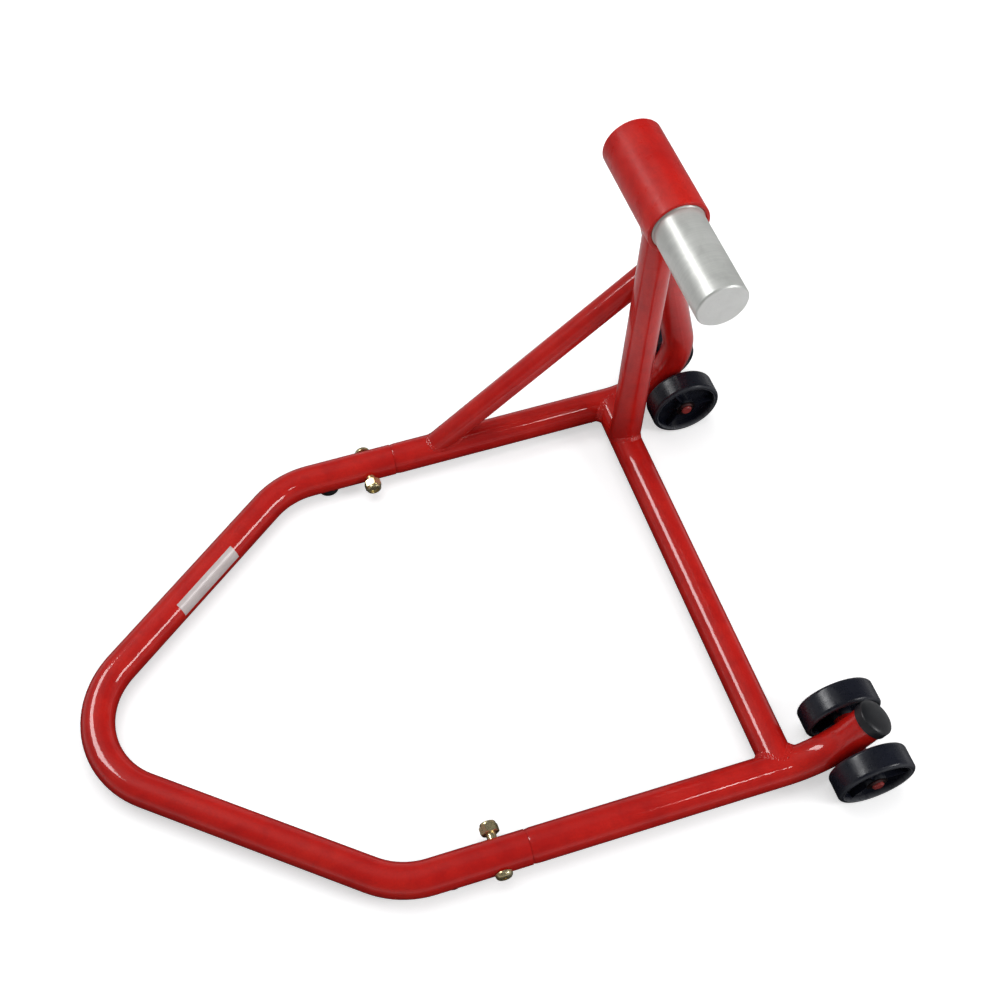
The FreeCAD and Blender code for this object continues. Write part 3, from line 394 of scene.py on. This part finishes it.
def add_mesh(name, bm, material):
    """Turn a bmesh into an object and free it."""
    mesh = bpy.data.meshes.new(name)
    bm.to_mesh(mesh)
    bm.free()
    mesh.materials.append(material)
    return add_object(name, mesh)


def add_piece(name, bm, material, node):
    """A smooth piece that rides on the frame in place of one of its nodes."""
    bmesh.ops.recalc_face_normals(bm, faces=bm.faces)
    piece = add_mesh(name, bm, material)
    for face in piece.data.polygons:
        face.use_smooth = True
    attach(piece, "frame")
    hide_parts(node)


# ------------------------------------------------------------------ tubes
class SideTube:
    """A side tube's centreline: floor run, bend, tail.

    Its plane points are (y, z) from the datum's y and the floor run's height.
    """

    def __init__(self, x, bend_start, angle_deg):
        self.x = x
        self.radius = TUBE_RADIUS
        self.bend_start = bend_start
        self.angle = math.radians(angle_deg)
        self.bend_end = self.on_bend(self.angle)
        self.slope = (math.cos(self.angle), math.sin(self.angle))
        self.tail_start = self.place(self.bend_end)
        self.tail_direction = Vector((0, *self.slope))

    def on_bend(self, angle):
        return (self.bend_start + BEND_RADIUS * math.sin(angle),
                BEND_RADIUS * (1 - math.cos(angle)))

    def place(self, point):
        return Vector((self.x, point[0] + DATUM.y, point[1] + TUBE_Z))

    def closest(self, point):
        y, z = point.y - DATUM.y, point.z - TUBE_Z
        found = []
        if y <= self.bend_start:
            found.append((y, 0.0))
        angle = math.atan2(y - self.bend_start, BEND_RADIUS - z)
        if 0.0 <= angle <= self.angle:
            found.append(self.on_bend(angle))
        (end_y, end_z), (slope_y, slope_z) = self.bend_end, self.slope
        along = (y - end_y) * slope_y + (z - end_z) * slope_z
        if along >= 0.0:
            found.append((end_y + along * slope_y, end_z + along * slope_z))
        if not found:
            found = [(self.bend_start, 0.0), self.bend_end]
        return self.place(min(found, key=lambda at: (at[0] - y) ** 2 + (at[1] - z) ** 2))


class Rod:
    """A straight tube."""

    def __init__(self, start, end, radius):
        self.start = start
        self.radius = radius
        self.length = (end - start).length
        self.direction = (end - start).normalized()

    def closest(self, point):
        return self.start + self.direction * (point - self.start).dot(self.direction)


X_AXIS = Vector((1, 0, 0))
NEAR_TUBE = SideTube(NEAR_X, bend_start=0.0021, angle_deg=57.0)
FAR_TUBE = SideTube(FAR_X, bend_start=-0.0016, angle_deg=103.8)
MIDDLE = Vector((DATUM.x, DATUM.y, TUBE_Z))
CROSS = Rod(MIDDLE, MIDDLE + X_AXIS, TUBE_RADIUS)
SLEEVE = Rod(PIN, PIN + X_AXIS, SLEEVE_RADIUS)
STRUT_LOW = Vector((FAR_X, DATUM.y - 0.2213, TUBE_Z))
STRUT_HIGH = Vector((FAR_X, DATUM.y + 0.0425, 0.2510))
BRACE_LOW = Vector((DATUM.x - 0.1869, DATUM.y, TUBE_Z))
BRACE_HIGH = Vector((DATUM.x - 0.2132, PIN.y, PIN.z))
TAIL_LOW = FAR_TUBE.tail_start
TAIL_HIGH = TAIL_LOW + FAR_TUBE.tail_direction * (
    (PIN.z - TAIL_LOW.z) / FAR_TUBE.tail_direction.z)

# ------------------------------------------------------------------ weld beads
# The frame's plain corner fillings are swapped for hand-laid beads: rippled, uneven,
# drawn out smoothly on to both tubes, with a few drops of spatter beside them.
BEAD_STEPS = 240  # rows round a bead
BEAD_POINTS = 8  # points across its outer face
SPATTER_DROPS = 9
SEARCH_BACK = 0.13  # where the seam search starts, before the branch's end
SEARCH_PAST = 0.02  # where it gives up, beyond the end
SEARCH_STEP = 0.0008
RIPPLE_PITCH = 0.0027
RIPPLE_HEIGHT = 0.00040
BEAD_LIFT = 0.00012
GRAIN_HEIGHT = 0.00018
EDGE_SINK = 0.00016  # how far a bead's edges dip into the tubes
ROOT_DEPTH = 0.0012  # how far its hidden root lies under the seam


def surface_point(main, point):
    """The point on the tube's surface beside a point, and the normal there."""
    centre = main.closest(point)
    normal = (point - centre).normalized()
    return centre + normal * main.radius, normal


def meeting(base, branch, main):
    """Distance from base along the branch to the main surface, or to the nearest pass."""

    def gap(along):
        point = base + branch.direction * along
        return (point - main.closest(point)).length - main.radius

    along = max(0.0, branch.length - SEARCH_BACK)
    best, best_gap = along, 1e9
    while along < branch.length + SEARCH_PAST:
        here = gap(along)
        if here < best_gap - 1e-9:
            best, best_gap = along, here
        if here < 0.0:
            outside, inside = along - SEARCH_STEP, along
            for _ in range(24):
                half = 0.5 * (outside + inside)
                if gap(half) < 0:
                    inside = half
                else:
                    outside = half
            return 0.5 * (outside + inside)
        along += SEARCH_STEP
    return best


def seam(branch, main):
    """(seam point, branch's outward normal) all round the branch, smoothed along it."""
    across = branch.direction.orthogonal().normalized()
    upright = branch.direction.cross(across)
    angles = [2 * math.pi * i / BEAD_STEPS for i in range(BEAD_STEPS)]
    normals = [across * math.cos(angle) + upright * math.sin(angle) for angle in angles]
    bases = [branch.start + normal * branch.radius for normal in normals]
    reach = [meeting(base, branch, main) for base in bases]
    for _ in range(3):
        reach = [0.25 * reach[i - 1] + 0.5 * reach[i] + 0.25 * reach[(i + 1) % BEAD_STEPS]
                 for i in range(BEAD_STEPS)]
    return [(base + branch.direction * along, normal)
            for base, along, normal in zip(bases, reach, normals)]


def bead(bm, branch, main, leg, seed):
    """A bead where the branch's end meets the main tube; leg is its width up each tube."""
    rng = random.Random(seed)
    points = seam(branch, main)
    shift = Vector((rng.random() * 9, rng.random() * 9, rng.random() * 9))
    rows, arc, previous = [], 0.0, points[0][0]
    for point, normal in points:
        arc += (point - previous).length
        previous = point
        lump = noise.noise(point * 160.0 + shift)
        slow = noise.noise(point * 55.0 + shift)
        branch_leg = leg * (1.0 + 0.28 * lump + 0.25 * slow)
        main_leg = leg * (1.0 - 0.22 * lump + 0.28 * slow)
        branch_edge = point - branch.direction * branch_leg
        main_edge, main_normal = surface_point(main, point + normal * main_leg)
        outward = (normal + main_normal).normalized()
        control = point + (branch_edge - point) * 0.22 + (main_edge - point) * 0.22
        wave = 0.5 + 0.5 * math.sin(2 * math.pi * arc / RIPPLE_PITCH + 2.2 * lump)
        ripple = RIPPLE_HEIGHT * wave + BEAD_LIFT
        row = []
        for k in range(BEAD_POINTS):
            f = k / (BEAD_POINTS - 1)
            spot = branch_edge * (1 - f) ** 2 + control * (2 * f * (1 - f)) + main_edge * f * f
            grain = GRAIN_HEIGHT * noise.noise(spot * 700.0 + shift)
            spot += outward * ((ripple + grain) * 4 * f * (1 - f))
            spot -= normal * (EDGE_SINK * (1 - f)) + main_normal * (EDGE_SINK * f)
            row.append(bm.verts.new(spot))
        row.append(bm.verts.new(point - outward * ROOT_DEPTH))
        rows.append(row)
    for i, row in enumerate(rows):
        after = rows[(i + 1) % BEAD_STEPS]
        for k in range(len(row)):
            k2 = (k + 1) % len(row)
            bm.faces.new((row[k], row[k2], after[k2], after[k]))
    for _ in range(SPATTER_DROPS):
        add_drop(bm, rng, points, branch, main, leg)


def add_drop(bm, rng, points, branch, main, leg):
    """A flattened drop of spatter, on the main tube or on the branch."""
    point, normal = points[rng.randrange(BEAD_STEPS)]
    away = leg * (1.15 + 1.3 * rng.random())
    if rng.random() < 0.6:
        centre, normal = surface_point(main, point + normal * away)
    else:
        centre = point - branch.direction * away
    size = 0.0004 + 0.0006 * rng.random()
    turn = normal.to_track_quat("Z", "Y").to_matrix().to_4x4()
    shape = Matrix.Diagonal((1.0, 1.0 + 0.4 * rng.random(), 0.55, 1.0))
    bmesh.ops.create_icosphere(bm, subdivisions=2, radius=size,
                               matrix=Matrix.Translation(centre) @ turn @ shape)


def bead_piece(name, node, joints):
    """One object holding the beads of several joints: (branch, main tube, leg)."""
    bm = bmesh.new()
    for i, (branch, main, leg) in enumerate(joints):
        bead(bm, branch, main, leg, seed=sum(map(ord, name)) + 31 * i)
    add_piece(name, bm, RED_WELD, node)


def axle_joints():
    """Both faces of each side tube, where the axle passes through."""
    joints = []
    for tube in (NEAR_TUBE, FAR_TUBE):
        for side in (-1, 1):
            middle = Vector((tube.x, AXLE.y, AXLE.z))
            outer = middle + Vector((side * 0.05, 0, 0))
            joints.append((Rod(outer, middle, AXLE_RADIUS), tube, 0.0019))
    return joints


bead_piece("cross_tube_beads", "cross_tube_welds", [
    (Rod(MIDDLE, Vector((NEAR_X, DATUM.y, TUBE_Z)), TUBE_RADIUS), NEAR_TUBE, 0.0048),
    (Rod(MIDDLE, Vector((FAR_X, DATUM.y, TUBE_Z)), TUBE_RADIUS), FAR_TUBE, 0.0052)])
bead_piece("strut_beads", "strut_welds", [
    (Rod(STRUT_HIGH, STRUT_LOW, STRUT_RADIUS), FAR_TUBE, 0.0040),
    (Rod(STRUT_LOW, STRUT_HIGH, STRUT_RADIUS), FAR_TUBE, 0.0040)])
bead_piece("brace_beads", "brace_welds", [
    (Rod(BRACE_HIGH, BRACE_LOW, TUBE_RADIUS), CROSS, 0.0042),
    (Rod(BRACE_LOW, BRACE_HIGH, TUBE_RADIUS), SLEEVE, 0.0040)])
bead_piece("sleeve_bead", "sleeve_weld", [
    (Rod(TAIL_LOW, TAIL_HIGH, TUBE_RADIUS), SLEEVE, 0.0040)])
bead_piece("axle_beads", "axle_welds", axle_joints())

# ------------------------------------------------------------------ moulded end cap
CAP_RADIUS = 0.0191
CAP_TOP = 0.0376
DOME_HEIGHT = 0.0042
DOME_STEPS = 18
# (distance along the near tail from the bend's end, radius), up to the foot of the dome
CAP_SIDE = [
    (0.03525, 0.0), (0.03525, 0.0172), (0.0349, 0.01755), (0.0256, 0.01755), (0.0251, 0.0179),
    (0.0251, 0.0186), (0.0254, 0.0190), (0.0259, CAP_RADIUS), (0.0300, CAP_RADIUS),
]


def cap_dome():
    """Dome profile from its foot to its top."""
    angles = [math.pi / 2 * i / DOME_STEPS for i in range(DOME_STEPS, -1, -1)]
    return [(CAP_TOP - DOME_HEIGHT * (1 - math.cos(angle)), CAP_RADIUS * math.sin(angle) ** 0.75)
            for angle in angles]


def lathe(profile, origin, axis, segments=96):
    """A closed turned piece: profile is (along the axis, radius), from axis to axis."""
    axis = axis.normalized()
    across = axis.orthogonal().normalized()
    upright = axis.cross(across)
    angles = [2 * math.pi * i / segments for i in range(segments)]
    spokes = [across * math.cos(angle) + upright * math.sin(angle) for angle in angles]
    bm = bmesh.new()
    rings = []
    for along, radius in profile:
        centre = origin + axis * along
        if radius < 1e-7:
            rings.append([bm.verts.new(centre)])
        else:
            rings.append([bm.verts.new(centre + spoke * radius) for spoke in spokes])
    for low, high in zip(rings, rings[1:]):
        for i in range(segments):
            j = (i + 1) % segments
            corners = (low[i % len(low)], low[j % len(low)],
                       high[j % len(high)], high[i % len(high)])
            bm.faces.new(list(dict.fromkeys(corners)))
    return bm


add_piece("tube_end_cap_moulded",
          lathe(CAP_SIDE + cap_dome(), NEAR_TUBE.tail_start, NEAR_TUBE.tail_direction),
          SLOT_LOOKS["cap_plastic"], "tube_end_cap")


# ------------------------------------------------------------------ floor
def floor_paper(name):
    """White paper, darker to reflected and bounced rays that reach it over a short way, which
    paints contact shade beside the stand into its reflections and bounce light; reflections also
    dim far off.
    """
    look = Look(name)
    ray = look.node("ShaderNodeLightPath").outputs
    distance = ray["Ray Length"]
    reach = look.times(look.remap(distance, span=(0.06, 0.30)),
                       look.remap(distance, span=(0.45, 1.3), to=(1.0, 0.35)))
    # painted shade: the floor as reflected, dark close to the stand, brighter further out, dimmer
    # again far off
    mirrored = look.mix(reach, (0.020, 0.019, 0.019), (0.74, 0.74, 0.745))
    # painted shade: bounce light from the floor, darker close to the stand
    bounced = look.tint((0.30, 0.295, 0.295), distance, span=(0.03, 0.28), amount=1.0,
                        to=(0.96, 0.96, 0.965))
    paper = look.mix(ray["Is Diffuse Ray"], (0.88, 0.88, 0.885), bounced)
    look.set("Base Color", look.mix(ray["Is Glossy Ray"], paper, mirrored))
    look.set("Roughness", 0.9)
    look.set("Specular IOR Level", 0.1)
    look.set("Emission Color", (1, 1, 1))
    # the paper stays white right out to the horizon
    position = look.node("ShaderNodeNewGeometry").outputs["Position"]
    place = look.node("ShaderNodeSeparateXYZ", {0: position}).outputs
    glow = look.remap(look.length(place["X"], place["Y"]), span=(0.9, 2.2), to=(0.50, 1.05))
    look.set("Emission Strength", look.times(ray["Is Camera Ray"], glow))
    return look.material


def add_floor():
    bm = bmesh.new()
    bmesh.ops.create_grid(bm, x_segments=2, y_segments=2, size=6.0)
    floor = add_mesh("floor", bm, floor_paper("floor_paper"))
    floor.location = (0, 0, -0.0002)


# ------------------------------------------------------------------ light
def add_world():
    """White to the camera, graded by height in reflections, even grey otherwise."""
    world = bpy.data.worlds.new("studio")
    SCENE.world = world
    world.use_nodes = True
    room = Graph(world.node_tree)
    direction = room.node("ShaderNodeTexCoord").outputs["Generated"]
    height = room.node("ShaderNodeSeparateXYZ", {0: direction}).outputs["Z"]
    low_grey = (0.34, 0.34, 0.345)
    upper = [(at, (level, level, level * 1.02))
             for at, level in ((0.28, 0.12), (0.7, 0.07), (1.0, 0.055))]
    graded = room.ramp(height, [(0.0, low_grey), (0.14, low_grey)] + upper)
    ray = room.node("ShaderNodeLightPath").outputs
    unseen = room.mix(ray["Is Glossy Ray"], (0.30, 0.30, 0.302), graded)
    background = world.node_tree.nodes["Background"]
    room.feed(background.inputs[0], room.mix(ray["Is Camera Ray"], unseen, (1, 1, 1)))
    room.feed(background.inputs[1], 1.0)


LIGHT_TARGET = DATUM + Vector((0.0, -0.2, 0.05))
LIGHT_DISTANCE = 2.6


def softbox(name, azimuth, elevation, width, height, radiance):
    """An area light of a set radiance aimed at the stand; angles in degrees, from +X."""
    light = bpy.data.lights.new(name, "AREA")
    light.shape = "RECTANGLE"
    light.size = width
    light.size_y = height
    light.energy = radiance * math.pi * width * height
    turn, rise = math.radians(azimuth), math.radians(elevation)
    direction = Vector((math.cos(rise) * math.cos(turn), math.cos(rise) * math.sin(turn),
                        math.sin(rise)))
    box = add_object(name, light)
    location = LIGHT_TARGET + direction * LIGHT_DISTANCE
    box.location = location
    box.rotation_euler = (LIGHT_TARGET - location).to_track_quat("-Z", "Y").to_euler()
    return box


def add_lights():
    left = softbox("softbox_left", azimuth=-125, elevation=47, width=1.5, height=0.8,
                   radiance=9.0)
    left.visible_diffuse = False
    softbox("softbox_right", azimuth=57, elevation=32, width=0.9, height=0.6, radiance=10.0)
    softbox("softbox_small", azimuth=33, elevation=55, width=0.30, height=0.14, radiance=16.0)
    overhead = softbox("overhead_fill", azimuth=-160, elevation=72, width=2.4, height=2.4,
                       radiance=2.05)
    overhead.visible_glossy = False


# ------------------------------------------------------------------ camera
CAMERA_OFFSET = Vector((0.625591, -0.428852, 1.258209))  # from the datum
CAMERA_STAND_OFF = 1.05  # lengthens the offset
CAMERA_HEADING = math.radians(74.94)  # from +Y towards -X
CAMERA_DIP = math.radians(56.23)  # below the horizontal
CAMERA_ROLL = math.radians(2.31)
SENSOR_WIDTH = 36.0  # millimetres
FOCAL_RATIO = 1.3813  # focal length over sensor width


def add_camera():
    data = bpy.data.cameras.new("photo_camera")
    camera = add_object("photo_camera", data)
    forward = Vector((-math.cos(CAMERA_DIP) * math.sin(CAMERA_HEADING),
                      math.cos(CAMERA_DIP) * math.cos(CAMERA_HEADING), -math.sin(CAMERA_DIP)))
    level = Vector((math.cos(CAMERA_HEADING), math.sin(CAMERA_HEADING), 0.0))
    below = forward.cross(level)
    right = level * math.cos(CAMERA_ROLL) + below * math.sin(CAMERA_ROLL)
    down = level * -math.sin(CAMERA_ROLL) + below * math.cos(CAMERA_ROLL)
    turn = Matrix((right, -down, -forward)).transposed()
    location = CAMERA_OFFSET * CAMERA_STAND_OFF + DATUM
    camera.matrix_world = Matrix.Translation(location) @ turn.to_4x4()
    data.sensor_width = SENSOR_WIDTH
    data.lens = SENSOR_WIDTH * FOCAL_RATIO
    data.shift_x = 0.06
    data.shift_y = -0.01
    data.clip_end = 50.0
    SCENE.camera = camera


add_floor()
add_world()
add_lights()
add_camera()
SCENE.view_settings.view_transform = "Standard"
